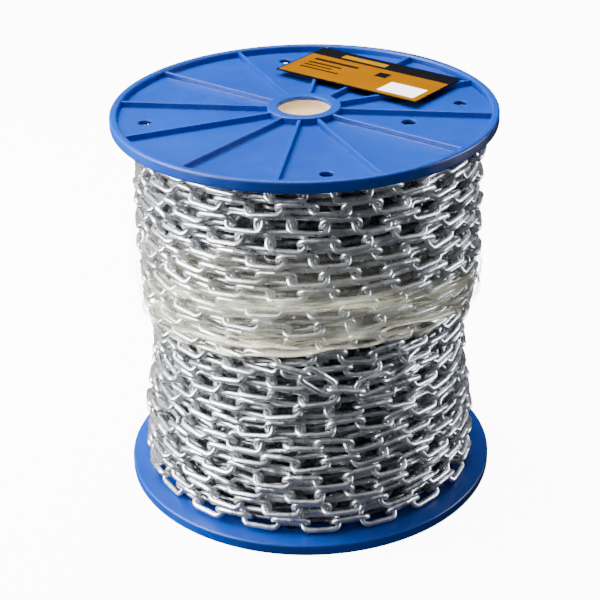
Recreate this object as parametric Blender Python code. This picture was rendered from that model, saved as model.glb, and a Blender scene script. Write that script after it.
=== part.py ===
"""Reel of steel chain: two moulded plastic flanges on a tube, wound full with short-link chain.

Metres, +Z up along the reel's axis. The origin is on the floor, at the centre of the lower flange.
The flanges are one moulding, used twice: the upper one has its ribs up, the lower one its ribs down.
"""

import math

import bmesh
import bpy

# Reel
REEL_H = 0.214
FLANGE_R = 0.1025
RIM_T = 0.0065
RIM_W = 0.0042
RIM_ROUND = 0.0013
WEB_T = 0.0025
RIB_COUNT = 12
RIB_W = 0.0022
RIB_H = 0.0032
RIB_PHASE = math.radians(22)
BORE_R = 0.014
BOSS_R = 0.0195
TUBE_R = 0.017
TUBE_SEAT_DEPTH = 0.0045
RIM_HOLE_R = 0.0034
RIM_HOLE_AT = 0.084
RIM_HOLE_COUNT = 4
RIM_HOLE_PHASE = math.radians(7)
DRIVE_HOLE_R = 0.0039
DRIVE_HOLE_AT = 0.0567
DRIVE_HOLE_ANGLE = math.radians(343)
CLEARANCE = 0.0003
ROUND_SIDES = 60

# Chain: 3 mm wire, 16 mm pitch, links 22 mm long and 11.5 mm wide, which lie at 45 degrees.
# LINK_REACH is how far such a link reaches each way from the chain's centre line, and
# LINK_BACK is how far behind that line its hidden edge is cut.
WIRE = 0.003
LINK_W = 0.0115
LINK_REACH = (LINK_W - WIRE) / 2 * math.cos(math.pi / 4) + WIRE / 2
LINKS_PER_TURN = 35
TURNS = 22
LINK_BODY_SHARE = 0.62
LINK_BACK = 0.0018
VALLEY_DEPTH = 0.0040
STEP_SPAN = 0.2
CHAIN_START = math.radians(126)

# The winding is full at both flanges and drawn in below the film. LEAN is the slope with which
# it leans towards +X, from the height LEAN_FROM, and LAYER_T is the outer layer's thickness.
WINDING_R = 0.0945
WAIST_DEPTH = 0.0065
WAIST_Z = 0.080
WAIST_SPREAD = 0.030
LEAN = 0.0145
LEAN_FROM = 0.055
LAYER_T = 0.0125
BORE_ROWS = 12

# Stretch film, a band of a few turns round the middle that rides up at the front
FILM_T = 0.0004
FILM_LOW = 0.104
FILM_HIGH = 0.161
FILM_TILT = 0.013
FILM_TILT_TOWARDS = math.radians(282)
FILM_SEAT = 0.0005

# Label on the upper flange
LABEL_LENGTH = 0.094
LABEL_W = 0.045
LABEL_T = 0.0004
LABEL_AT = (0.0355, 0.048)
LABEL_ANGLE = math.radians(-38)


def clear_scene():
    for old in list(bpy.data.objects):
        bpy.data.objects.remove(old)


def material(name, colour, roughness, metallic=0.0, alpha=1.0):
    made = bpy.data.materials.new(name)
    made.use_nodes = True
    shader = made.node_tree.nodes["Principled BSDF"]
    shader.inputs["Base Color"].default_value = (*colour, 1.0)
    shader.inputs["Roughness"].default_value = roughness
    shader.inputs["Metallic"].default_value = metallic
    shader.inputs["Alpha"].default_value = alpha
    return made


def add_object(name, shape, surface, crease=math.radians(35)):
    """Closes a bmesh into an object of its own."""
    bmesh.ops.recalc_face_normals(shape, faces=shape.faces)
    mesh = bpy.data.meshes.new(name)
    shape.to_mesh(mesh)
    shape.free()
    mesh.materials.append(surface)
    mesh.shade_smooth()
    mesh.set_sharp_from_angle(angle=crease)
    made = bpy.data.objects.new(name, mesh)
    bpy.context.scene.collection.objects.link(made)
    return made


def turned(profile, sides=ROUND_SIDES):
    """A closed ring, from a closed outline of (radius, height) points."""
    shape = bmesh.new()
    rings = []
    for side in range(sides):
        angle = math.tau * side / sides
        rings.append(
            [shape.verts.new((r * math.cos(angle), r * math.sin(angle), z)) for r, z in profile]
        )
    for side, ring in enumerate(rings):
        following = rings[(side + 1) % sides]
        for i in range(len(profile)):
            j = (i + 1) % len(profile)
            shape.faces.new((ring[i], following[i], following[j], ring[j]))
    return shape


def helper(name, shape):
    """A cutter or a tool for a Boolean, left out of the model."""
    bmesh.ops.recalc_face_normals(shape, faces=shape.faces)
    mesh = bpy.data.meshes.new(name)
    shape.to_mesh(mesh)
    shape.free()
    made = bpy.data.objects.new(name, mesh)
    made.hide_render = True
    made.display_type = "WIRE"
    bpy.context.scene.collection.objects.link(made)
    return made


def boolean(target, tool, operation):
    step = target.modifiers.new(tool.name, "BOOLEAN")
    step.operation = operation
    step.solver = "EXACT"
    step.object = tool


def block(shape, length, width, height, centre, angle):
    """A box in a bmesh, its length along the given angle in the floor plane."""
    made = bmesh.ops.create_cube(shape, size=1.0)["verts"]
    cos, sin = math.cos(angle), math.sin(angle)
    for vert in made:
        x, y, z = vert.co.x * length, vert.co.y * width, vert.co.z * height
        vert.co = (
            centre[0] + x * cos - y * sin,
            centre[1] + x * sin + y * cos,
            centre[2] + z,
        )


def flange_outline():
    """Half section of the moulding, its inner face at z = 0 and its ribbed face upwards."""
    rim_inner = FLANGE_R - RIM_W
    return [
        (TUBE_R + CLEARANCE, 0),
        (FLANGE_R - RIM_ROUND, 0),
        (FLANGE_R, RIM_ROUND),
        (FLANGE_R, RIM_T - RIM_ROUND),
        (FLANGE_R - RIM_ROUND, RIM_T),
        (rim_inner + RIM_ROUND, RIM_T),
        (rim_inner, RIM_T - RIM_ROUND),
        (rim_inner, WEB_T),
        (BOSS_R, WEB_T),
        (BOSS_R, RIM_T - RIM_ROUND),
        (BOSS_R - RIM_ROUND, RIM_T),
        (BORE_R, RIM_T),
        (BORE_R, TUBE_SEAT_DEPTH),
        (TUBE_R + CLEARANCE, TUBE_SEAT_DEPTH),
    ]


def rib_tool():
    """The radial ribs, from inside the boss wall to inside the rim."""
    shape = bmesh.new()
    start = BOSS_R - 0.0010
    end = FLANGE_R - RIM_W + 0.0010
    sunk = WEB_T / 2
    for i in range(RIB_COUNT):
        angle = RIB_PHASE + math.tau * i / RIB_COUNT
        middle = (start + end) / 2
        centre = (middle * math.cos(angle), middle * math.sin(angle), WEB_T + (RIB_H - sunk) / 2)
        block(shape, end - start, RIB_W, RIB_H + sunk, centre, angle)
    return helper("rib_tool", shape)


def hole_tool():
    """The four holes near the rim and the one drive hole."""
    places = [
        (RIM_HOLE_AT, RIM_HOLE_PHASE + math.tau * i / RIM_HOLE_COUNT, RIM_HOLE_R)
        for i in range(RIM_HOLE_COUNT)
    ]
    places.append((DRIVE_HOLE_AT, DRIVE_HOLE_ANGLE, DRIVE_HOLE_R))
    shape = bmesh.new()
    for distance, angle, radius in places:
        made = bmesh.ops.create_cone(
            shape, segments=16, radius1=radius, radius2=radius, depth=4 * WEB_T, cap_ends=True
        )["verts"]
        for vert in made:
            vert.co.x += distance * math.cos(angle)
            vert.co.y += distance * math.sin(angle)
    return helper("hole_tool", shape)


def add_flanges(plastic):
    """One moulding with its ribs and holes, placed at the top and, turned over, at the bottom."""
    upper = add_object("upper_flange", turned(flange_outline()), plastic)
    boolean(upper, rib_tool(), "UNION")
    boolean(upper, hole_tool(), "DIFFERENCE")
    bpy.context.view_layer.update()
    graph = bpy.context.evaluated_depsgraph_get()
    moulding = bpy.data.meshes.new_from_object(upper.evaluated_get(graph))
    upper.modifiers.clear()
    upper.data = moulding
    lower = bpy.data.objects.new("lower_flange", moulding.copy())
    bpy.context.scene.collection.objects.link(lower)
    upper.location.z = REEL_H - RIM_T
    lower.location.z = RIM_T
    lower.rotation_euler.x = math.pi


def add_tube(board):
    low = RIM_T - TUBE_SEAT_DEPTH + CLEARANCE
    high = REEL_H - low
    outline = [(BORE_R, low), (TUBE_R, low), (TUBE_R, high), (BORE_R, high)]
    return add_object("core_tube", turned(outline), board)


def winding_radius(z):
    """Mean outer radius of the winding at a height: full at the flanges, narrow at the waist."""
    return WINDING_R - WAIST_DEPTH * math.exp(-(((z - WAIST_Z) / WAIST_SPREAD) ** 2))


def outer_radius(angle, z):
    """Outer radius of the winding with its lean."""
    return winding_radius(z) + LEAN * (z - LEAN_FROM) * math.cos(angle)


def inner_radius(z):
    """Where the outer layer of chain rests on the layers below it."""
    return winding_radius(z) - LAYER_T


def layer_heights():
    low = RIM_T + CLEARANCE
    high = REEL_H - RIM_T - CLEARANCE
    return low, high


def add_inner_layers(steel):
    """The hidden layers, as one plain turned core that follows the waist."""
    low, high = layer_heights()
    outer = []
    for i in range(BORE_ROWS + 1):
        z = low + (high - low) * i / BORE_ROWS
        outer.append((inner_radius(z) - CLEARANCE, z))
    inner = [(TUBE_R + CLEARANCE, high), (TUBE_R + CLEARANCE, low)]
    return add_object("chain_inner_layers", turned(outer + inner), steel)


def turn_height(turns):
    """Height of the chain's centre line: each turn is level, then steps up to the next."""
    low, high = layer_heights()
    first = low + LINK_REACH + CLEARANCE
    pitch = (high - low - 2 * LINK_REACH - 2 * CLEARANCE) / (TURNS - 1)
    whole = math.floor(turns)
    share = max((turns - whole - 1 + STEP_SPAN) / STEP_SPAN, 0)
    return first + pitch * (whole + share * share * (3 - 2 * share))


def add_outer_layer(steel):
    """The outer layer as one helix of links, each at a right angle to the next.

    Chain lies on a drum with its links leaning at 45 degrees, one with its foot out and the
    next with its head out. An odd number of links to a turn sets one kind beside the other. A
    station is a section of the chain, and there are two for each link. The valley between two
    turns is shared by the turn below it and the turn above it.
    """
    low, high = layer_heights()
    stations = 2 * LINKS_PER_TURN
    count = stations * (TURNS - 1) + 2 * int(LINKS_PER_TURN * (1 - STEP_SPAN))
    corner = LINK_REACH - WIRE / 4

    def place(radius, angle, z):
        return (radius * math.cos(angle), radius * math.sin(angle), z)

    def station(k):
        """Angle and height of a section, and whether its link has its foot out."""
        link, end = divmod(k, 2)
        share = (1 - LINK_BODY_SHARE) / 2 + end * LINK_BODY_SHARE
        turn = (link + share) / LINKS_PER_TURN
        return CHAIN_START + math.tau * turn, turn_height(turn), link % 2 == 0

    def valley_height(k):
        """Midway between the turn that ends here and the one that starts here."""
        reach = CLEARANCE / 2
        if k < stations:
            return low + reach
        if k >= count:
            return high - reach
        return (station(k)[1] + station(k - stations)[1]) / 2

    def middle_radius(angle, z):
        """Radius of the chain's centre line."""
        return outer_radius(angle, z) - LINK_REACH

    shape = bmesh.new()
    valleys, lowers, uppers = [], [], []
    for k in range(count + stations):
        z = valley_height(k)
        angle = station(k)[0]
        valleys.append(shape.verts.new(place(middle_radius(angle, z) - VALLEY_DEPTH, angle, z)))
    for k in range(count):
        angle, z, foot_out = station(k)
        radius = middle_radius(angle, z)
        foot, head = (corner, -LINK_BACK) if foot_out else (-LINK_BACK, corner)
        lowers.append(shape.verts.new(place(radius + foot, angle, z - corner)))
        uppers.append(shape.verts.new(place(radius + head, angle, z + corner)))
    for k in range(count - 1):
        shape.faces.new((valleys[k], valleys[k + 1], lowers[k + 1], lowers[k]))
        shape.faces.new((lowers[k], lowers[k + 1], uppers[k + 1], uppers[k]))
        shape.faces.new((uppers[k], uppers[k + 1], valleys[k + 1 + stations], valleys[k + stations]))

    # The ends of the chain are capped, and the layer is closed by its two faces and its bore.
    last, end = count - 1, stations - 1
    bottom, top = [], []
    for k in range(stations):
        for rim, height, first in ((bottom, low, 0), (top, high, count)):
            angle = station(first + k)[0]
            radius = middle_radius(angle, height) - VALLEY_DEPTH
            rim.append(shape.verts.new(place(radius, angle, height)))
    for k in range(end):
        shape.faces.new((bottom[k], bottom[k + 1], valleys[k + 1], valleys[k]))
        shape.faces.new((valleys[count + k], valleys[count + k + 1], top[k + 1], top[k]))
    shape.faces.new((bottom[end], bottom[0], valleys[0], valleys[stations], valleys[end]))
    shape.faces.new((valleys[0], lowers[0], uppers[0], valleys[stations]))
    shape.faces.new((top[0], top[end], valleys[count + end], valleys[last], valleys[count]))
    shape.faces.new((valleys[last], valleys[last + stations], uppers[last], lowers[last]))
    bore = []
    for i in range(BORE_ROWS + 1):
        z = low + (high - low) * i / BORE_ROWS
        bore.append(
            [shape.verts.new(place(inner_radius(z), station(k)[0], z)) for k in range(stations)]
        )
    for k in range(stations):
        j = (k + 1) % stations
        m, n = (count + k) % stations, (count + j) % stations
        shape.faces.new((bottom[k], bore[0][k], bore[0][j], bottom[j]))
        shape.faces.new((top[k], top[j], bore[-1][n], bore[-1][m]))
        for below, above in zip(bore, bore[1:]):
            shape.faces.new((below[k], above[k], above[j], below[j]))
    return add_object("chain_outer_layer", shape, steel, math.radians(25))


def add_film(film):
    """The band of film, drawn tight over the outermost links and following the waist."""
    shape = bmesh.new()
    sides, rows = 2 * LINKS_PER_TURN, 6
    rings = []
    for side in range(sides):
        angle = math.tau * side / sides
        tilt = FILM_TILT * math.cos(angle - FILM_TILT_TOWARDS)
        heights = [FILM_LOW + tilt + (FILM_HIGH - FILM_LOW) * i / rows for i in range(rows + 1)]
        inside = [(outer_radius(angle, z) + FILM_SEAT, z) for z in heights]
        outside = [(r + FILM_T, z) for r, z in reversed(inside)]
        rings.append(
            [
                shape.verts.new((r * math.cos(angle), r * math.sin(angle), z))
                for r, z in inside + outside
            ]
        )
    for side, ring in enumerate(rings):
        following = rings[(side + 1) % sides]
        for i in range(len(ring)):
            j = (i + 1) % len(ring)
            shape.faces.new((ring[i], following[i], following[j], ring[j]))
    return add_object("stretch_film", shape, film)


def add_label(paper):
    """The sticker, lying across the tops of the ribs inside the rim."""
    shape = bmesh.new()
    rib_top = REEL_H - RIM_T + WEB_T + RIB_H
    centre = (*LABEL_AT, rib_top + CLEARANCE + LABEL_T / 2)
    block(shape, LABEL_LENGTH, LABEL_W, LABEL_T, centre, LABEL_ANGLE)
    return add_object("label", shape, paper)


def main():
    clear_scene()
    plastic = material("blue_plastic", (0.02, 0.11, 0.55), 0.38)
    board = material("tube_board", (0.78, 0.70, 0.58), 0.85)
    steel = material("zinc_plated_steel", (0.62, 0.64, 0.66), 0.32, metallic=1.0)
    film = material("clear_film", (0.93, 0.92, 0.86), 0.15, alpha=0.35)
    paper = material("label_paper", (0.92, 0.52, 0.03), 0.45)
    add_flanges(plastic)
    add_tube(board)
    add_inner_layers(steel)
    add_outer_layer(steel)
    add_film(film)
    add_label(paper)


main()
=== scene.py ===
"""Looks of the reel of chain: real links wound on the reel, wrinkled film, printed label, studio."""

import math

import bmesh
import bpy
import numpy as np
from mathutils import Matrix, Vector


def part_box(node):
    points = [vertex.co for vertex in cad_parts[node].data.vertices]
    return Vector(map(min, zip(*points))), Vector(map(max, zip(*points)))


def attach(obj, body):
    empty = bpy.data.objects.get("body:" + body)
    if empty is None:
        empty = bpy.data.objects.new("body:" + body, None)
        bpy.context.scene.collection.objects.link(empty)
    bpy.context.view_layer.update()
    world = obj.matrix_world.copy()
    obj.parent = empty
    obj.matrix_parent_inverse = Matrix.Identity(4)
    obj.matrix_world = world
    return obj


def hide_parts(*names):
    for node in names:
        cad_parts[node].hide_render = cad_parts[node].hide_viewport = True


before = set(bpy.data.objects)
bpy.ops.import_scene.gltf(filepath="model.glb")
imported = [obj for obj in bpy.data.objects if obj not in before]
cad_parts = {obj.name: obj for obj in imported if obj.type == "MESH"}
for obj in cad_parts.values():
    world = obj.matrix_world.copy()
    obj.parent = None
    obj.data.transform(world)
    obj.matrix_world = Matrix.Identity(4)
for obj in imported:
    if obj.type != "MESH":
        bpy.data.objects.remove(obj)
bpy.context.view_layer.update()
LAYER_LOW, LAYER_HIGH = (corner.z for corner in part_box("chain_outer_layer"))

# The chain, as in the CAD source
WIRE = 0.003
LINK_W = 0.0115
LINK_LENGTH = 0.022
LINK_REACH = (LINK_W - WIRE) / 2 * math.cos(math.pi / 4) + WIRE / 2
PITCH = LINK_LENGTH - 2 * WIRE
TURNS = 22
STEP_SPAN = 0.2
CHAIN_START = math.radians(126)
CLEARANCE = 0.0003

# The winding, as in the CAD source
WINDING_R = 0.0945
WAIST_DEPTH = 0.0065
WAIST_Z = 0.080
WAIST_SPREAD = 0.030
LEAN = 0.0145
LEAN_FROM = 0.055

# The flanges, as in the CAD source
FLANGE_R = 0.1025
RIM_T = 0.0065
RIM_W = 0.0042
RIM_ROUND = 0.0013
WEB_T = 0.0025
RIB_COUNT = 12
RIB_W = 0.0022
RIB_H = 0.0032
RIB_PHASE = math.radians(22)
BORE_R = 0.014
BOSS_R = 0.0195
TUBE_R = 0.017
TUBE_SEAT_DEPTH = 0.0045
RIM_HOLE_R = 0.0034
RIM_HOLE_AT = 0.084
RIM_HOLE_COUNT = 4
RIM_HOLE_PHASE = math.radians(7)
DRIVE_HOLE_R = 0.0039
DRIVE_HOLE_AT = 0.0567
DRIVE_HOLE_ANGLE = math.radians(343)
FLANGE_SIDES = 240
ARC_STEPS = 5
HOLE_SIDES = 40
EDGE_SOFTNESS = 0.0003
RIB_BITE = 0.0010
SHARP_FROM = math.radians(48)

# The bent wire of one link, welded in the middle of one side
CORNER_R = 0.0031
CORNER_STEPS = 3
WELD_HALF = 0.0004
WELD_REACH = 0.0012
WELD_BULGE = 1.14
LINK_SIDES = 8
HIDDEN_LINK_SIDES = 6

# How unevenly the chain lies
WANDER_UP = 0.0016
WANDER_IN = 0.0014
JITTER = 0.00045
ROLL_WANDER = math.radians(26)
ROLL_JITTER = math.radians(9)
WAIST_DISORDER = 0.9

# The layer below starts a little further round and runs on past both ends of the outer one
SECOND_LAYER_DEPTH = 0.0085
SECOND_LAYER_SHIFT = math.radians(11)
SECOND_LAYER_SPARE = math.radians(50)

# The strand that crosses in front: angle in degrees, height, and distance outside the winding
CROSSING_ROUTE = (
    (226, 0.1090, -0.0110),
    (236, 0.1100, -0.0075),
    (246, 0.1105, -0.0030),
    (255, 0.1105, 0.0002),
    (262, 0.1090, 0.0022),
    (269, 0.1060, 0.0034),
    (277, 0.0950, 0.0036),
    (286.5, 0.0925, 0.0030),
    (296, 0.0945, 0.0012),
    (306, 0.0970, -0.0020),
    (316, 0.0985, -0.0060),
    (326, 0.0990, -0.0110),
)
CROSSING_DROPS_FROM = 5
CROSSING_FLAT_ROLL = math.radians(-8)
CROSSING_EDGE_ROLL = math.radians(68)

# The film's edges before it is tilted, and how far it stands off the chain, as in the CAD source
FILM_LOW = 0.104
FILM_HIGH = 0.161
FILM_TILT = 0.013
FILM_TILT_TOWARDS = math.radians(282)
FILM_PROUD = 0.0005

# The sheet of film: its passes, its uneven edges and its surface
FILM_PASSES = 2
FILM_PASS_GAP = 0.0003
FILM_SHEET_W = 0.052
FILM_START = math.radians(150)
FILM_STEPS = 300
FILM_ROWS = 30
FILM_TILT_CHANGE = 0.002
FILM_STAGGER = 0.0025
FILM_WAVE = 0.0013
FILM_SHORT_WAVE = 0.0007
FILM_LIFT = 0.004
FILM_LIFT_AT = math.radians(306)
FILM_LIFT_SPREAD = 0.5
FILM_RIPPLE = 0.0003
FILM_FOLD = 0.0004
FILM_TEXTURE_SPANS = 8

# The rolled lower edge of the film, thickest at the front right
FILM_ROLL_ROWS = 6
FILM_ROLL_TURN = 1.5 * math.pi
FILM_ROLL_R = 0.0004
FILM_ROLL_GROWTH = 0.0005
FILM_THICK_AT = math.radians(310)

# The milky fold of the film: its place and width, and how strongly it shows, on average and round the reel
FILM_BAND_Z = 0.1225
FILM_BAND_TILT = 0.0224
FILM_BAND_TOWARDS = math.radians(262)
FILM_BAND_WAVE = 0.0012
FILM_BAND_STAGGER = 0.003
FILM_BAND_SPREAD = 0.0022
FILM_BAND_STRONG_AT = math.radians(320)
FILM_BAND_MEAN = 0.44
FILM_BAND_CHANGE = 0.50

# The film's haze below and above that fold, where it evens out, and how far up the gathered part reaches
FILM_HAZE_BELOW = 0.95
FILM_HAZE_ABOVE = 0.03
FILM_CLEARS_OVER = 0.008
FILM_HAZE_EVEN_AT = math.radians(205)
FILM_GATHERED = 0.18

# The label, as in the CAD source, and how far each layer of ink stands above the one below it
LABEL_LENGTH = 0.094
LABEL_W = 0.045
LABEL_ANGLE = math.radians(-38)
INK_RISE = 0.00004

# The print: ink, then its left, right, lower and upper edge as shares of the label from its middle
LABEL_AREAS = (
    ("orange", -0.490, 0.490, -0.475, 0.240),
    ("orange_deep", -0.30, 0.02, 0.300, 0.410),
    ("black", -0.42, -0.10, 0.060, 0.120),
    ("black", -0.42, -0.18, -0.060, -0.020),
    ("black", -0.42, -0.22, -0.150, -0.115),
    ("black", -0.42, -0.14, -0.240, -0.205),
    ("white", 0.20, 0.45, -0.400, -0.080),
    ("black", 0.05, 0.13, -0.020, 0.130),
)

# The photograph's camera
CAMERA_AT = (0.0, -0.7963, 0.5125)
CAMERA_TILT = math.radians(25.33)
CAMERA_PAN = math.radians(0.26)
CAMERA_ROLL = math.radians(-1.17)
CAMERA_LENS = 96.6
CAMERA_SHIFT = -0.1

# The studio: sizes and places in metres, powers in watts, and the floor's emission strength
FLOOR_GLOW = 11.0
FLOOR_REACH = 12.0
GLEAM_LEFT_POWER = 54
GLEAM_RIGHT_POWER = 12
GLEAM_HIGH_POWER = 22
SOFT_LEFT_POWER = 60
SOFT_OVERHEAD_POWER = 54
SOFT_LOW_POWER = 4
SOFT_FILM_POWER = 13
OVERHEAD_POWER = 12
BORE_POWER = 0.06
LIGHTS_AIM = (0, 0, 0.1)
BORE_LAMP_AT = (-0.006, -0.004, 0.165)
UNDER_REEL_R = 0.0985
UNDER_REEL_SIDES = 64
UNDER_REEL_RISE = 0.0001

rng = np.random.default_rng(11)


# Node materials


class Nodes:
    """A material's node tree, with short calls for the nodes used here."""

    def __init__(self, name):
        self.material = bpy.data.materials.new(name)
        self.material.use_nodes = True
        self.tree = self.material.node_tree
        self.shader = self.tree.nodes["Principled BSDF"]
        self.place = self.tree.nodes.new("ShaderNodeTexCoord").outputs["Object"]

    def new(self, kind, **settings):
        """A node of one kind, with its settings."""
        node = self.tree.nodes.new(kind)
        for key, value in settings.items():
            setattr(node, key, value)
        return node

    def link(self, output, target):
        self.tree.links.new(output, target)

    def set(self, **values):
        """Values on the shader's own sockets."""
        for key, value in values.items():
            self.shader.inputs[key.replace("_", " ")].default_value = value

    def scaled(self, scale, source=None):
        """The place, stretched by a factor along each axis."""
        node = self.new("ShaderNodeMapping")
        node.inputs["Scale"].default_value = scale
        self.link(source or self.place, node.inputs["Vector"])
        return node.outputs["Vector"]

    def noise(self, scale, detail=3.0, roughness=0.5, source=None, distortion=0.0):
        node = self.new("ShaderNodeTexNoise")
        node.inputs["Scale"].default_value = scale
        node.inputs["Detail"].default_value = detail
        node.inputs["Roughness"].default_value = roughness
        node.inputs["Distortion"].default_value = distortion
        self.link(source or self.place, node.inputs["Vector"])
        return node.outputs["Fac"]

    def spread(self, value, low, high, from_low=0.3, from_high=0.7):
        """A value brought from one range into another, and held inside it."""
        node = self.new("ShaderNodeMapRange")
        node.inputs["From Min"].default_value = from_low
        node.inputs["From Max"].default_value = from_high
        node.inputs["To Min"].default_value = low
        node.inputs["To Max"].default_value = high
        self.link(value, node.inputs["Value"])
        return node.outputs["Result"]

    def maths(self, operation, first, second=0.0):
        """A sum done on two values, each a socket or a number."""
        node = self.new("ShaderNodeMath", operation=operation)
        for socket, value in zip(node.inputs, (first, second)):
            if isinstance(value, (int, float)):
                socket.default_value = value
            else:
                self.link(value, socket)
        return node.outputs[0]

    def total(self, base, *terms):
        """A base number plus each value times its weight."""
        result = base
        for value, weight in terms:
            result = self.maths("ADD", self.maths("MULTIPLY", value, weight), result)
        return result

    def mix(self, share, first, second):
        """Two colours mixed by a share from 0 to 1."""
        node = self.new("ShaderNodeMix", data_type="RGBA")
        self.link(share, node.inputs["Factor"])
        for name, value in (("A", first), ("B", second)):
            socket = next(s for s in node.inputs if s.name == name and s.type == "RGBA")
            if isinstance(value, tuple):
                socket.default_value = (*value, 1.0)
            else:
                self.link(value, socket)
        return next(s for s in node.outputs if s.type == "RGBA")

    def bump(self, height, strength, distance):
        node = self.new("ShaderNodeBump")
        node.inputs["Strength"].default_value = strength
        node.inputs["Distance"].default_value = distance
        self.link(height, node.inputs["Height"])
        self.link(node.outputs["Normal"], self.shader.inputs["Normal"])

    def attribute(self, name):
        return self.new("ShaderNodeAttribute", attribute_name=name).outputs["Fac"]


def zinc_material(name, bright, dark):
    """Bright zinc on steel wire: dull patches, fine grain, and a tone of its own for each link."""
    m = Nodes(name)
    patches = m.spread(m.noise(160, detail=4), 0.0, 1.0, 0.35, 0.65)
    tone = m.attribute("link_tone")
    share = m.maths("MULTIPLY", m.maths("ADD", patches, tone), 0.5)
    m.link(m.mix(share, dark, bright), m.shader.inputs["Base Color"])
    m.link(m.spread(m.noise(420, detail=2), 0.26, 0.42), m.shader.inputs["Roughness"])
    m.set(Metallic=0.90)
    m.bump(m.noise(900, detail=2), 0.25, 0.0004)
    return m.material


def plastic_material():
    """Blue moulded plastic: faint flow marks, satin gloss and fine scuffs."""
    m = Nodes("blue_moulded_plastic")
    flow = m.spread(m.noise(14, detail=5, distortion=0.6), 0.0, 1.0)
    shade = m.spread(m.noise(9, detail=2, distortion=0.8), 0.0, 1.0, 0.36, 0.64)
    darker = m.mix(flow, (0.0, 0.030, 0.25), (0.0, 0.036, 0.28))
    lighter = m.mix(flow, (0.0, 0.038, 0.29), (0.0, 0.047, 0.33))
    colour = m.mix(shade, darker, lighter)
    scuffs = m.spread(m.noise(60, detail=8, roughness=0.7, source=m.scaled((1, 6, 1))), 0, 0.35, 0.6, 0.8)
    m.link(m.mix(scuffs, colour, (0.01, 0.06, 0.40)), m.shader.inputs["Base Color"])
    m.set(Specular_IOR_Level=0.25)
    m.link(m.spread(m.noise(90, detail=5), 0.30, 0.44), m.shader.inputs["Roughness"])
    m.bump(m.noise(700, detail=3), 0.12, 0.0003)
    return m.material


def board_material():
    """The pale wound-paper tube, with its spiral seams."""
    m = Nodes("tube_board_wound")
    wave = m.new("ShaderNodeTexWave", wave_type="BANDS", bands_direction="Z")
    wave.inputs["Scale"].default_value = 9
    wave.inputs["Distortion"].default_value = 1.2
    wave.inputs["Detail"].default_value = 2
    m.link(m.place, wave.inputs["Vector"])
    seam = m.spread(wave.outputs["Fac"], 0, 1, 0.0, 0.12)
    fibres = m.spread(m.noise(500, detail=4, source=m.scaled((1, 1, 0.3))), 0, 1)
    paper = m.mix(fibres, (0.80, 0.68, 0.50), (0.90, 0.80, 0.64))
    m.link(m.mix(seam, (0.58, 0.46, 0.31), paper), m.shader.inputs["Base Color"])
    m.set(Roughness=0.85)
    m.bump(fibres, 0.3, 0.0004)
    return m.material


def core_painted_shade_material():
    """The winding's inner layers behind the visible links, painted dark with paler spots: painted shade for
    the depth of the winding, not the zinc's own colour.
    """
    m = Nodes("winding_core_painted_shade")
    spots = m.spread(m.noise(110, detail=5, roughness=0.7), 0, 1, 0.4, 0.62)
    m.link(m.mix(spots, (0.02, 0.022, 0.025), (0.19, 0.195, 0.205)), m.shader.inputs["Base Color"])
    m.set(Metallic=0.7, Roughness=0.5)
    m.bump(m.noise(110, detail=5, roughness=0.7), 1.0, 0.003)
    return m.material


def film_material():
    """Stretch film: nearly clear where it is smooth, milky in its folds and along its rolled edge, with thin
    paler lines along its creases that are partly painted highlight.
    """
    m = Nodes("stretch_film_clear")
    along = m.new("ShaderNodeUVMap", uv_map="film").outputs["UV"]
    gathered = m.attribute("film_gather")
    bunched = m.attribute("film_bunch")
    hazed = m.attribute("film_haze")
    drifts = m.noise(1.0, detail=2, source=m.scaled((0.8, 2.4, 1), along), distortion=1.0)
    streaks = m.noise(1.0, detail=4, roughness=0.55, source=m.scaled((1.5, 8.5, 1), along), distortion=0.7)
    ridges = m.noise(1.0, detail=3, source=m.scaled((1.2, 5.5, 1), along), distortion=1.5)
    threads = m.noise(1.0, detail=3, source=m.scaled((3.4, 30.0, 1), along), distortion=1.0)
    broad = m.spread(drifts, 0.15, 1.0, 0.42, 0.60)
    folds = m.spread(streaks, 0.0, 1.0, 0.52, 0.60)
    wrinkles = m.spread(threads, 0.0, 1.0, 0.53, 0.60)
    lines = m.spread(m.maths("ABSOLUTE", m.maths("SUBTRACT", ridges, 0.5)), 1.0, 0.0, 0.0, 0.010)
    milky = m.maths("MULTIPLY", broad, hazed)
    veil = m.maths("MULTIPLY", milky, m.total(0.02, (folds, 0.36), (wrinkles, 0.28)))
    # Thin lines more opaque in the pale film: partly the thicker film along creases, partly painted
    # highlight standing in for glints.
    crease_and_painted_glint = m.maths("MULTIPLY", lines, m.total(0.05, (milky, 0.34)))
    edge = m.maths("MULTIPLY", gathered, m.total(0.02, (folds, 0.34)))
    bunch = m.maths("MULTIPLY", bunched, m.total(0.10, (folds, 0.44), (wrinkles, 0.26)))
    alpha = m.total(0.008, (veil, 1.0), (crease_and_painted_glint, 1.0), (edge, 1.0), (bunch, 1.0))
    m.link(m.maths("MINIMUM", alpha, 0.9), m.shader.inputs["Alpha"])
    thick = m.maths("MAXIMUM", gathered, bunched)
    m.link(m.mix(thick, (0.95, 0.96, 0.76), (0.97, 0.93, 0.70)), m.shader.inputs["Base Color"])
    m.set(Roughness=0.20, IOR=1.50, Specular_IOR_Level=0.7)
    m.bump(m.total(0.0, (streaks, 1.0), (lines, 0.3)), 0.8, 0.002)
    return m.material


def matt_material(name, colour, roughness=0.42, fade=1.12, grain_scale=260):
    """A matt surface such as printed ink, in places paler by the factor fade."""
    m = Nodes(name)
    grain = m.spread(m.noise(grain_scale, detail=3), 0, 1)
    pale = tuple(min(1.0, c * fade) for c in colour)
    m.link(m.mix(grain, colour, pale), m.shader.inputs["Base Color"])
    gloss = m.spread(m.noise(120, detail=3), roughness - 0.07, roughness + 0.07)
    m.link(gloss, m.shader.inputs["Roughness"])
    m.set(Specular_IOR_Level=0.0)
    m.bump(m.noise(45, detail=2), 0.25, 0.0006)
    return m.material


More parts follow.
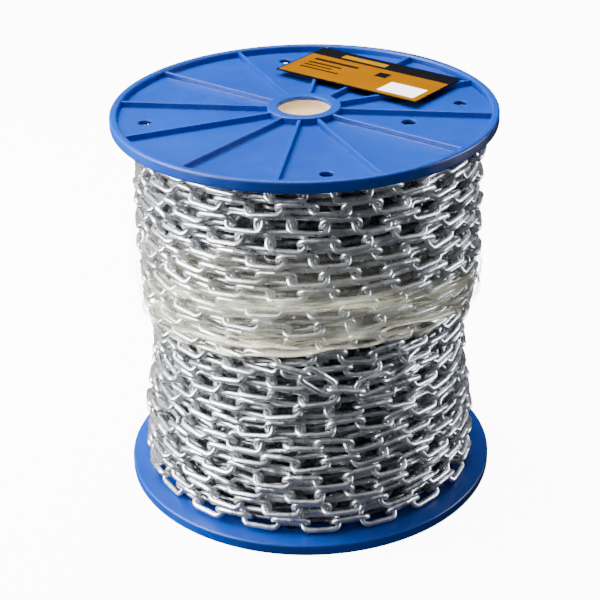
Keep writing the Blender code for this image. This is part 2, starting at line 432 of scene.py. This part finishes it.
def floor_material():
    """A pale floor that is lit a little from inside, as a photographer's light table is."""
    m = Nodes("studio_floor")
    shade = m.spread(m.noise(3, detail=2), 0, 1)
    m.link(m.mix(shade, (0.30, 0.30, 0.30), (0.32, 0.32, 0.32)), m.shader.inputs["Base Color"])
    m.set(Roughness=0.9, Emission_Color=(1, 1, 1, 1), Emission_Strength=FLOOR_GLOW)
    return m.material


# Objects


def add_object(name, data):
    """An object for a mesh, a light or the camera, linked to the scene."""
    made = bpy.data.objects.new(name, data)
    bpy.context.scene.collection.objects.link(made)
    return made


def applied(piece):
    """The mesh of a piece after its modifiers, which come off it."""
    bpy.context.view_layer.update()
    graph = bpy.context.evaluated_depsgraph_get()
    mesh = bpy.data.meshes.new_from_object(piece.evaluated_get(graph))
    piece.modifiers.clear()
    return mesh


# The flanges


def arc(centre, radius, start, end):
    """Points of an arc, its angles in degrees."""
    angles = np.radians(np.linspace(start, end, ARC_STEPS))
    return [(centre[0] + radius * math.cos(a), centre[1] + radius * math.sin(a)) for a in angles]


def flange_section():
    """Half section of the moulding with its rounded edges, the ribbed face upwards."""
    r, soft = RIM_ROUND, EDGE_SOFTNESS
    rim_inner = FLANGE_R - RIM_W
    return [
        (TUBE_R + CLEARANCE, 0),
        *arc((FLANGE_R - r, r), r, -90, 0),
        *arc((FLANGE_R - r, RIM_T - r), r, 0, 90),
        *arc((rim_inner + r, RIM_T - r), r, 90, 180),
        *arc((rim_inner - soft, WEB_T + soft), soft, 0, -90),
        *arc((BOSS_R + soft, WEB_T + soft), soft, -90, -180),
        *arc((BOSS_R - 2 * soft, RIM_T - 2 * soft), 2 * soft, 0, 90),
        *arc((BORE_R + 2 * soft, RIM_T - 2 * soft), 2 * soft, 90, 180),
        (BORE_R, TUBE_SEAT_DEPTH),
        (TUBE_R + CLEARANCE, TUBE_SEAT_DEPTH),
    ]


def turned(section, sides, centre=(0.0, 0.0)):
    """A closed ring, or a closed round bar where the section starts and ends on its axis."""
    shape = bmesh.new()
    rings = []
    for side in range(sides):
        angle = math.tau * side / sides
        cos, sin = math.cos(angle), math.sin(angle)
        rings.append([shape.verts.new((centre[0] + r * cos, centre[1] + r * sin, z)) for r, z in section])
    for side, ring in enumerate(rings):
        following = rings[(side + 1) % sides]
        for i in range(len(section)):
            j = (i + 1) % len(section)
            shape.faces.new((ring[i], following[i], following[j], ring[j]))
    return shape


def solid(name, shape):
    """An object made of a closed shape, its faces pointing out."""
    bmesh.ops.recalc_face_normals(shape, faces=shape.faces)
    mesh = bpy.data.meshes.new(name)
    shape.to_mesh(mesh)
    shape.free()
    return add_object(name, mesh)


def rib_tool():
    """The radial ribs, with a little draft, a soft top and a flared foot."""
    top, soft = WEB_T + RIB_H, EDGE_SOFTNESS
    half = [
        (RIB_W / 2 + 1.4 * soft, WEB_T / 2),
        (RIB_W / 2 + 1.4 * soft, WEB_T),
        (RIB_W / 2 + 0.5 * soft, WEB_T + 0.3 * soft),
        (RIB_W / 2, WEB_T + 1.2 * soft),
        (RIB_W / 2 - 0.5 * soft, top - 1.2 * soft),
        (RIB_W / 2 - 0.9 * soft, top - 0.4 * soft),
        (RIB_W / 2 - 1.8 * soft, top),
    ]
    section = half + [(-y, z) for y, z in reversed(half)]
    start, end = BOSS_R - RIB_BITE, FLANGE_R - RIM_W + RIB_BITE
    shape = bmesh.new()
    for i in range(RIB_COUNT):
        angle = RIB_PHASE + math.tau * i / RIB_COUNT
        cos, sin = math.cos(angle), math.sin(angle)
        ends = []
        for x in (start, end):
            ends.append([shape.verts.new((x * cos - y * sin, x * sin + y * cos, z)) for y, z in section])
        for j in range(len(section)):
            k = (j + 1) % len(section)
            shape.faces.new((ends[0][j], ends[0][k], ends[1][k], ends[1][j]))
        shape.faces.new(ends[0])
        shape.faces.new(ends[1])
    return solid("rib_tool", shape)


def hole_tool(name, distance, angle, radius):
    """A cutter for one hole, flared at both faces of the web to soften its edges."""
    soft = 1.5 * EDGE_SOFTNESS
    near_axis = 0.0002
    section = [
        (near_axis, -WEB_T),
        (radius + soft + WEB_T, -WEB_T),
        (radius, soft),
        (radius, WEB_T - soft),
        (radius + soft + WEB_T, 2 * WEB_T),
        (near_axis, 2 * WEB_T),
    ]
    shape = turned(section, HOLE_SIDES, (distance * math.cos(angle), distance * math.sin(angle)))
    bmesh.ops.remove_doubles(shape, verts=shape.verts, dist=2.5 * near_axis)
    return solid(name, shape)


def add_flanges(plastic):
    """One moulding with ribs and holes, in place at the top and, turned over, at the bottom."""
    upper = solid("flange_upper_moulding", turned(flange_section(), FLANGE_SIDES))
    tools = [(rib_tool(), "UNION")]
    for i in range(RIM_HOLE_COUNT):
        angle = RIM_HOLE_PHASE + math.tau * i / RIM_HOLE_COUNT
        tools.append((hole_tool(f"hole_tool_{i}", RIM_HOLE_AT, angle, RIM_HOLE_R), "DIFFERENCE"))
    drive = hole_tool("hole_tool_drive", DRIVE_HOLE_AT, DRIVE_HOLE_ANGLE, DRIVE_HOLE_R)
    tools.append((drive, "DIFFERENCE"))
    for cutter, operation in tools:
        step = upper.modifiers.new(cutter.name, "BOOLEAN")
        step.operation = operation
        step.solver = "EXACT"
        step.object = cutter
    moulding = applied(upper)
    for cutter, _ in tools:
        bpy.data.objects.remove(cutter)
    moulding.materials.clear()
    moulding.materials.append(plastic)
    moulding.shade_smooth()
    moulding.set_sharp_from_angle(angle=SHARP_FROM)
    upper.data = moulding
    upper.modifiers.new("level_faces", "WEIGHTED_NORMAL").keep_sharp = True
    moulding = applied(upper)
    turned_over = moulding.copy()
    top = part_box("upper_flange")[1].z
    moulding.transform(Matrix.Translation((0, 0, top - RIM_T)))
    turned_over.transform(Matrix.Translation((0, 0, RIM_T)) @ Matrix.Rotation(math.pi, 4, "X"))
    upper.data = moulding
    return upper, add_object("flange_lower_moulding", turned_over)


# The chain


def outer_radius(angle, z):
    """Outer radius of the winding: narrow at the waist, and leaning towards +X."""
    waist = WAIST_DEPTH * np.exp(-(((z - WAIST_Z) / WAIST_SPREAD) ** 2))
    return WINDING_R - waist + LEAN * (z - LEAN_FROM) * np.cos(angle)


def turn_height(turns):
    """Height of the chain's centre line: each turn is level, then steps up to the next."""
    first = LAYER_LOW + LINK_REACH + CLEARANCE
    pitch = (LAYER_HIGH - LAYER_LOW - 2 * LINK_REACH - 2 * CLEARANCE) / (TURNS - 1)
    whole = np.floor(turns)
    share = np.maximum((turns - whole - 1 + STEP_SPAN) / STEP_SPAN, 0)
    return first + pitch * (whole + share * share * (3 - 2 * share))


def wander(angle, z, seed):
    """A smooth uneven value from -1 to 1 that neighbouring turns share in part."""
    return (
        0.5 * np.sin(3 * angle + 61 * z + seed)
        + 0.3 * np.sin(7 * angle - 143 * z + 2.1 * seed)
        + 0.2 * np.sin(13 * angle + 317 * z + 3.7 * seed)
    )


def link_outline():
    """One link's centre line as points along and across it, with the radius of the wire at each."""
    half_length = (LINK_LENGTH - WIRE) / 2
    half_width = (LINK_W - WIRE) / 2
    points = []
    for quarter, (sx, sy) in enumerate(((1, 1), (-1, 1), (-1, -1), (1, -1))):
        centre = (sx * (half_length - CORNER_R), sy * (half_width - CORNER_R))
        for step in range(CORNER_STEPS + 1):
            angle = math.pi / 2 * (quarter + step / CORNER_STEPS)
            x, y = centre[0] + CORNER_R * math.cos(angle), centre[1] + CORNER_R * math.sin(angle)
            points.append((x, y, 1.0))
        if quarter == 0:
            weld = ((WELD_REACH, 1.0), (WELD_HALF, WELD_BULGE), (-WELD_HALF, WELD_BULGE), (-WELD_REACH, 1.0))
            points += [(x, half_width, swell) for x, swell in weld]
    return np.array(points)


def link_template(sides, plain=False):
    """One link in the XY plane along X, its faces pointing out, and a plain one without its weld."""
    line = link_outline()
    if plain:
        line = np.array([p for p in line if abs(p[0]) > WELD_REACH])
    count = len(line)
    ahead = np.roll(line[:, :2], -1, axis=0) - np.roll(line[:, :2], 1, axis=0)
    ahead /= np.linalg.norm(ahead, axis=1)[:, None]
    outward = np.column_stack((ahead[:, 1], -ahead[:, 0], np.zeros(count)))
    around = np.arange(sides) * math.tau / sides
    radius = (WIRE / 2 * line[:, 2])[:, None, None]
    ring = np.cos(around)[None, :, None] * outward[:, None, :]
    ring = ring + np.sin(around)[None, :, None] * np.array([0.0, 0.0, 1.0])
    centre = np.column_stack((line[:, :2], np.zeros(count)))[:, None, :]
    verts = (centre + radius * ring).reshape(-1, 3)
    faces = []
    for i in range(count):
        j = (i + 1) % count
        for s in range(sides):
            t = (s + 1) % sides
            faces.append((i * sides + s, j * sides + s, j * sides + t, i * sides + t))
    return verts, np.array(faces)


def unit(v):
    """Each row's vector at length 1."""
    return v / np.linalg.norm(v, axis=-1, keepdims=True)


def links_along(joints, rolls, name, surface, sides, plain=False):
    """A chain through the joint points, each link rolled about its own length."""
    verts, faces = link_template(sides, plain)
    centres = (joints[:-1] + joints[1:]) / 2
    along = unit(joints[1:] - joints[:-1])
    out = centres * np.array([1.0, 1.0, 0.0])
    out = unit(out - (out * along).sum(1, keepdims=True) * along)
    up = np.cross(out, along)
    across = np.cos(rolls)[:, None] * up + np.sin(rolls)[:, None] * out
    normal = np.cross(along, across)
    frames = np.stack((along, across, normal), axis=1)
    placed = np.einsum("vk,lkd->lvd", verts, frames) + centres[:, None, :]
    count = len(verts)
    all_faces = (faces[None] + (np.arange(len(centres)) * count)[:, None, None]).reshape(-1, 4)
    mesh = bpy.data.meshes.new(name)
    mesh.vertices.add(len(centres) * count)
    mesh.vertices.foreach_set("co", placed.reshape(-1).astype(np.float32))
    mesh.loops.add(all_faces.size)
    mesh.loops.foreach_set("vertex_index", all_faces.reshape(-1).astype(np.int32))
    mesh.polygons.add(len(all_faces))
    mesh.polygons.foreach_set("loop_start", np.arange(0, all_faces.size, 4, dtype=np.int32))
    mesh.update(calc_edges=True)
    mesh.validate()
    tone = np.repeat(rng.uniform(0.0, 1.0, len(centres)), count)
    mesh.attributes.new("link_tone", "FLOAT", "POINT").data.foreach_set("value", tone.astype(np.float32))
    mesh.shade_smooth()
    mesh.materials.append(surface)
    return add_object(name, mesh)


def wound_angles(depth, offset, spare):
    """Angles of the joints of one wound layer, a link's pitch apart along the helix."""
    angle = CHAIN_START + offset - spare
    end = CHAIN_START + math.tau * (TURNS - STEP_SPAN) + spare
    angles = []
    while angle < end:
        angles.append(angle)
        z = turn_height(max(angle - CHAIN_START, 0) / math.tau)
        angle += PITCH / (outer_radius(angle, z) - LINK_REACH - depth)
    return np.array(angles)


def layer_joints(depth, offset, spare=0.0):
    """Joint points of one wound layer and the roll of each of its links."""
    angle = wound_angles(depth, offset, spare)
    count = len(angle) - 1
    level = turn_height(np.maximum(angle - CHAIN_START, 0) / math.tau)
    slack = 1 + WAIST_DISORDER * np.exp(-(((level - WAIST_Z) / WAIST_SPREAD) ** 2))
    z = level + slack * WANDER_UP * wander(angle, level, 1.3 + offset)
    z = z + rng.normal(0, JITTER, count + 1)
    z = np.clip(z, LAYER_LOW + LINK_REACH, LAYER_HIGH - LINK_REACH)
    sink = 0.5 + 0.5 * wander(angle, level, 4.1 + offset)
    radius = outer_radius(angle, z) - LINK_REACH - depth - WANDER_IN * sink
    radius = radius - np.abs(rng.normal(0, JITTER, count + 1))
    joints = np.column_stack((radius * np.cos(angle), radius * np.sin(angle), z))
    rolls = np.where(np.arange(count) % 2 == 0, -math.pi / 4, math.pi / 4)
    rolls = rolls + (slack * ROLL_WANDER * wander(angle * 0.6, level * 2.3, 7.7))[:-1]
    return joints, rolls + rng.normal(0, ROLL_JITTER, count)


def add_chain(zinc, zinc_in_painted_shade):
    """The outer layer in three pieces, and the layer below it in a darker copy of the zinc, which is painted
    shade.
    """
    joints, rolls = layer_joints(0.0, 0.0)
    third = len(rolls) // 3
    made = []
    for part, name in enumerate(("lower", "middle", "upper")):
        first = part * third
        last = len(rolls) if name == "upper" else first + third
        stretch = joints[first : last + 1]
        made.append(links_along(stretch, rolls[first:last], f"chain_links_{name}", zinc, LINK_SIDES))
    joints, rolls = layer_joints(SECOND_LAYER_DEPTH, SECOND_LAYER_SHIFT, SECOND_LAYER_SPARE)
    below = links_along(joints, rolls, "chain_links_below", zinc_in_painted_shade, HIDDEN_LINK_SIDES, plain=True)
    return made, below


def add_crossing(zinc):
    """A stretch of chain that comes out under the film and drops over its neighbours in front."""
    route = np.array(CROSSING_ROUTE)
    angles, z = np.radians(route[:, 0]), route[:, 1]
    radius = outer_radius(angles, z) + route[:, 2]
    corners = np.column_stack((radius * np.cos(angles), radius * np.sin(angles), z))
    reach = np.concatenate(([0.0], np.cumsum(np.linalg.norm(np.diff(corners, axis=0), axis=1))))
    before_drop = reach[CROSSING_DROPS_FROM]
    marks = np.arange(before_drop % PITCH, reach[-1], PITCH)
    joints = np.column_stack([np.interp(marks, reach, corners[:, axis]) for axis in range(3)])
    lies_flat = (np.arange(len(joints) - 1) - int(before_drop // PITCH)) % 2 == 0
    rolls = np.where(lies_flat, CROSSING_FLAT_ROLL, CROSSING_EDGE_ROLL)
    rolls = rolls + rng.normal(0, ROLL_JITTER / 2, len(joints) - 1)
    return links_along(joints, rolls, "chain_links_crossing", zinc, LINK_SIDES)


# The film


def facing(angle, direction):
    """1 where an angle looks in a direction, and 0 on the far side."""
    return 0.5 + 0.5 * math.cos(angle - direction)


def film_edges(angle, turn):
    """Heights of the sheet's lower and upper edge, which tilt, stagger and wave as it is wound on."""
    tilt = (FILM_TILT + FILM_TILT_CHANGE * math.sin(3.1 * turn)) * math.cos(angle - FILM_TILT_TOWARDS)
    centre = (FILM_LOW + FILM_HIGH) / 2 + tilt + FILM_STAGGER * math.cos(math.pi * turn)
    wave = FILM_WAVE * math.sin(5 * angle + 2 * turn) + FILM_SHORT_WAVE * math.sin(17 * angle + turn)
    from_lift = (angle - FILM_LIFT_AT + math.pi) % math.tau - math.pi
    lift = FILM_LIFT * math.exp(-((from_lift / FILM_LIFT_SPREAD) ** 2))
    return centre - FILM_SHEET_W / 2 + wave + lift, centre + FILM_SHEET_W / 2 - 0.6 * wave


def film_radius(angle, turn, z, share):
    """How far from the axis the sheet lies, at a share of the way from its lower to its upper edge."""
    ripple = FILM_RIPPLE * math.sin(35 * angle + 9 * share) * math.sin(37 * share + 4 * angle)
    fold = FILM_FOLD * math.sin(70 * share + 9 * math.sin(3 * angle + turn))
    return outer_radius(angle, z) + FILM_PROUD + FILM_PASS_GAP * turn + ripple + fold * (1 - share)


def film_marks(angle, turn, z, share):
    """How gathered, how bunched and how hazy the sheet is at a point, each from 0 to 1."""
    even = facing(angle, FILM_HAZE_EVEN_AT) ** 2
    gathered = max(0.0, 1 - share / (FILM_GATHERED + 0.10 * even)) ** 0.8
    fold_z = FILM_BAND_Z + FILM_BAND_TILT * math.cos(angle - FILM_BAND_TOWARDS)
    fold_z += FILM_BAND_WAVE * math.sin(4 * angle + 2.5 * turn) + FILM_BAND_STAGGER * (turn - 1)
    strength = max(0.0, FILM_BAND_MEAN + FILM_BAND_CHANGE * math.cos(angle - FILM_BAND_STRONG_AT))
    spread = FILM_BAND_SPREAD * (1 + 0.8 * facing(angle, FILM_THICK_AT))
    bunched = strength * math.exp(-(((z - fold_z) / spread) ** 2))
    above = min(max((z - fold_z) / FILM_CLEARS_OVER, 0.0), 1.0)
    hazy = (FILM_HAZE_BELOW - 0.35 * even) * (1 - above) + (FILM_HAZE_ABOVE + 0.20 * even) * above
    return gathered, bunched, hazy


def add_film(surface):
    """One sheet of film wound round twice over the links, its lower edge rolled into a cord."""
    verts, uvs, marks = [], [], []
    for i in range(FILM_STEPS * FILM_PASSES + 1):
        turn = i / FILM_STEPS
        angle = FILM_START + math.tau * turn
        low, high = film_edges(angle, turn)
        swell = 1 + 0.5 * math.sin(9 * angle + 3 * turn)
        roll = FILM_ROLL_R + FILM_ROLL_GROWTH * facing(angle, FILM_THICK_AT) * swell
        for j in range(FILM_ROLL_ROWS + FILM_ROWS + 1):
            share = max(j - FILM_ROLL_ROWS, 0) / FILM_ROWS
            z = low + (high - low) * share
            radius = film_radius(angle, turn, z, share)
            if j < FILM_ROLL_ROWS:
                bend = FILM_ROLL_TURN * (1 - j / FILM_ROLL_ROWS)
                radius += roll * (1 - math.cos(bend))
                z -= roll * math.sin(bend)
            verts.append((radius * math.cos(angle), radius * math.sin(angle), z))
            uvs.append((FILM_TEXTURE_SPANS * turn, share))
            marks.append(film_marks(angle, turn, z, share))
    column = FILM_ROLL_ROWS + FILM_ROWS + 1
    faces = []
    for i in range(FILM_STEPS * FILM_PASSES):
        for j in range(column - 1):
            a = i * column + j
            faces.append((a, a + column, a + column + 1, a + 1))
    mesh = bpy.data.meshes.new("stretch_film_band")
    mesh.from_pydata(verts, [], faces)
    layer = mesh.uv_layers.new(name="film")
    for loop in mesh.loops:
        layer.data[loop.index].uv = uvs[loop.vertex_index]
    for name, values in zip(("film_gather", "film_bunch", "film_haze"), zip(*marks)):
        mesh.attributes.new(name, "FLOAT", "POINT").data.foreach_set("value", values)
    mesh.shade_smooth()
    mesh.materials.append(surface)
    return add_object("stretch_film_band", mesh)


# The label


def add_label_print(inks):
    """Plain printed bars on the label, in a layout of their own."""
    low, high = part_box("label")
    centre = (low + high) / 2
    cos, sin = math.cos(LABEL_ANGLE), math.sin(LABEL_ANGLE)
    verts, faces, slots = [], [], []
    names = list(inks)
    for ink, left, right, lower, upper in LABEL_AREAS:
        layers = 1 if ink == "orange" else 2
        start = len(verts)
        for along, across in ((left, lower), (right, lower), (right, upper), (left, upper)):
            x, y = along * LABEL_LENGTH, across * LABEL_W
            turned_x, turned_y = x * cos - y * sin, x * sin + y * cos
            verts.append((centre.x + turned_x, centre.y + turned_y, high.z + layers * INK_RISE))
        faces.append((start, start + 1, start + 2, start + 3))
        slots.append(names.index(ink))
    mesh = bpy.data.meshes.new("label_print")
    mesh.from_pydata(verts, [], faces)
    for name in names:
        mesh.materials.append(inks[name])
    mesh.polygons.foreach_set("material_index", slots)
    return add_object("label_print", mesh)


# Studio


def add_floor():
    """The floor, with an unlit patch where the reel's rim closes it off from the light."""
    floor_mesh = bpy.data.meshes.new("floor")
    corners = [(x * FLOOR_REACH, y * FLOOR_REACH, 0) for x, y in ((-1, -1), (1, -1), (1, 1), (-1, 1))]
    floor_mesh.from_pydata(corners, [], [(0, 1, 2, 3)])
    floor_mesh.materials.append(floor_material())
    floor = add_object("floor", floor_mesh)
    floor.visible_diffuse = False
    floor.visible_glossy = False
    patch_mesh = bpy.data.meshes.new("floor_under_reel")
    angles = [math.tau * i / UNDER_REEL_SIDES for i in range(UNDER_REEL_SIDES)]
    ring = [(UNDER_REEL_R * math.cos(a), UNDER_REEL_R * math.sin(a), UNDER_REEL_RISE) for a in angles]
    patch_mesh.from_pydata(ring, [], [tuple(range(UNDER_REEL_SIDES))])
    patch_mesh.materials.append(matt_material("floor_in_shadow", (0.5, 0.5, 0.5), 0.9))
    add_object("floor_under_reel", patch_mesh)


def add_light(name, at, size, power, colour=(1, 1, 1)):
    """A flat lamp that looks at the middle of the reel."""
    data = bpy.data.lights.new(name, "AREA")
    data.shape = "RECTANGLE"
    data.size, data.size_y = size
    data.energy = power
    data.color = colour
    light = add_object(name, data)
    light.location = at
    light.rotation_euler = (Vector(LIGHTS_AIM) - Vector(at)).to_track_quat("-Z", "Y").to_euler()
    return light


def add_film_light(film):
    """A soft light from the front for the film alone, which is clear and takes little of the others."""
    light = add_light("soft_film", (-0.45, -0.95, 0.30), (0.8, 0.5), SOFT_FILM_POWER)
    light.visible_glossy = False
    lit = bpy.data.collections.new("lit_by_soft_film")
    lit.objects.link(film)
    light.light_linking.receiver_collection = lit


def add_world():
    """A soft sky: pale overhead, dim at the horizon and dark below it."""
    world = bpy.data.worlds.new("studio")
    world.use_nodes = True
    tree = world.node_tree
    direction = tree.nodes.new("ShaderNodeTexCoord").outputs["Generated"]
    split = tree.nodes.new("ShaderNodeSeparateXYZ")
    ramp = tree.nodes.new("ShaderNodeValToRGB")
    tree.links.new(direction, split.inputs["Vector"])
    height = tree.nodes.new("ShaderNodeMapRange")
    height.inputs["From Min"].default_value = -1.0
    tree.links.new(split.outputs["Z"], height.inputs["Value"])
    tree.links.new(height.outputs["Result"], ramp.inputs["Fac"])
    steps = ramp.color_ramp.elements
    steps[0].position, steps[0].color = 0.30, (0.04, 0.044, 0.05, 1)
    steps[1].position, steps[1].color = 1.0, (0.75, 0.77, 0.80, 1)
    middle = steps.new(0.82)
    middle.color = (0.10, 0.105, 0.12, 1)
    tree.links.new(ramp.outputs["Color"], tree.nodes["Background"].inputs["Color"])
    bpy.context.scene.world = world


def add_studio():
    """The floor, gleams that show only in the metal's gloss, softs that light dull surfaces, and the sky."""
    add_floor()
    gleams = (
        add_light("gleam_left", (-0.95, -0.30, 0.50), (0.8, 0.8), GLEAM_LEFT_POWER, (1.0, 0.99, 0.98)),
        add_light("gleam_right", (0.95, 0.05, 0.22), (0.5, 0.5), GLEAM_RIGHT_POWER, (0.92, 0.95, 1.0)),
        add_light("gleam_high", (-0.80, 0.06, 1.05), (0.5, 0.5), GLEAM_HIGH_POWER),
    )
    softs = (
        add_light("soft_left", (-1.0, 0.20, 0.26), (0.4, 0.4), SOFT_LEFT_POWER, (1.0, 0.99, 0.97)),
        add_light("soft_overhead", (-0.36, 0.22, 1.22), (1.1, 1.1), SOFT_OVERHEAD_POWER),
        add_light("soft_low", (-0.35, -1.0, 0.06), (0.8, 0.2), SOFT_LOW_POWER),
    )
    for light in gleams:
        light.visible_diffuse = False
    for light in softs:
        light.visible_glossy = False
    add_light("overhead", (-0.12, 0.30, 1.25), (0.9, 0.7), OVERHEAD_POWER)
    bore_lamp = bpy.data.lights.new("bore_lamp", "POINT")
    bore_lamp.energy = BORE_POWER
    bore_lamp.color = (1.0, 0.93, 0.84)
    bore_lamp.shadow_soft_size = 0.003
    bore_light = add_object("bore_lamp", bore_lamp)
    bore_light.location = BORE_LAMP_AT
    bore_light.visible_glossy = False
    add_world()


def add_camera():
    """The photograph's camera, looking down along +Y with a little pan and roll."""
    forward = Vector((0, math.cos(CAMERA_TILT), -math.sin(CAMERA_TILT)))
    forward = Matrix.Rotation(CAMERA_PAN, 3, "Z") @ forward
    right = forward.cross(Vector((0, 0, 1))).normalized()
    up = right.cross(forward)
    cos, sin = math.cos(CAMERA_ROLL), math.sin(CAMERA_ROLL)
    across, above = cos * right + sin * up, cos * up - sin * right
    data = bpy.data.cameras.new("photo_camera")
    data.lens = CAMERA_LENS
    data.shift_y = CAMERA_SHIFT
    camera = add_object("photo_camera", data)
    camera.matrix_world = Matrix((across, above, -forward)).transposed().to_4x4()
    camera.location = CAMERA_AT
    bpy.context.scene.camera = camera


def repaint(node, material):
    """Gives a CAD node a finished material."""
    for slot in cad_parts[node].material_slots:
        slot.material = material


def keep(piece, replaced=()):
    """Puts a piece on the one body, and hides the CAD nodes it stands in for."""
    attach(piece, "root")
    if replaced:
        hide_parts(*replaced)


def main():
    add_camera()
    add_studio()
    plastic = plastic_material()
    zinc = zinc_material("bright_zinc", (0.84, 0.86, 0.88), (0.44, 0.45, 0.47))
    # A darker copy of the bright zinc for the links of the layer below: painted shade for their depth inside
    # the winding, not a duller metal.
    zinc_in_painted_shade = zinc_material("zinc_in_painted_shade", (0.40, 0.41, 0.43), (0.16, 0.165, 0.175))
    upper, lower = add_flanges(plastic)
    keep(upper, ("upper_flange",))
    keep(lower, ("lower_flange",))
    repaint("core_tube", board_material())
    repaint("chain_inner_layers", core_painted_shade_material())
    black_ink = matt_material("label_black", (0.004, 0.004, 0.005))
    repaint("label", black_ink)
    outer, below = add_chain(zinc, zinc_in_painted_shade)
    crossing = add_crossing(zinc)
    for piece in (*outer, below, crossing):
        keep(piece, ("chain_outer_layer",) if piece in outer else ())
    film = add_film(film_material())
    keep(film, ("stretch_film",))
    add_film_light(film)
    inks = {
        "orange": matt_material("label_orange", (0.155, 0.056, 0.0), 0.6, fade=1.2, grain_scale=60),
        "black": black_ink,
        "white": matt_material("label_white", (0.86, 0.86, 0.84)),
        "orange_deep": matt_material("label_orange_deep", (0.22, 0.10, 0.0), 0.6),
    }
    keep(add_label_print(inks))


main()
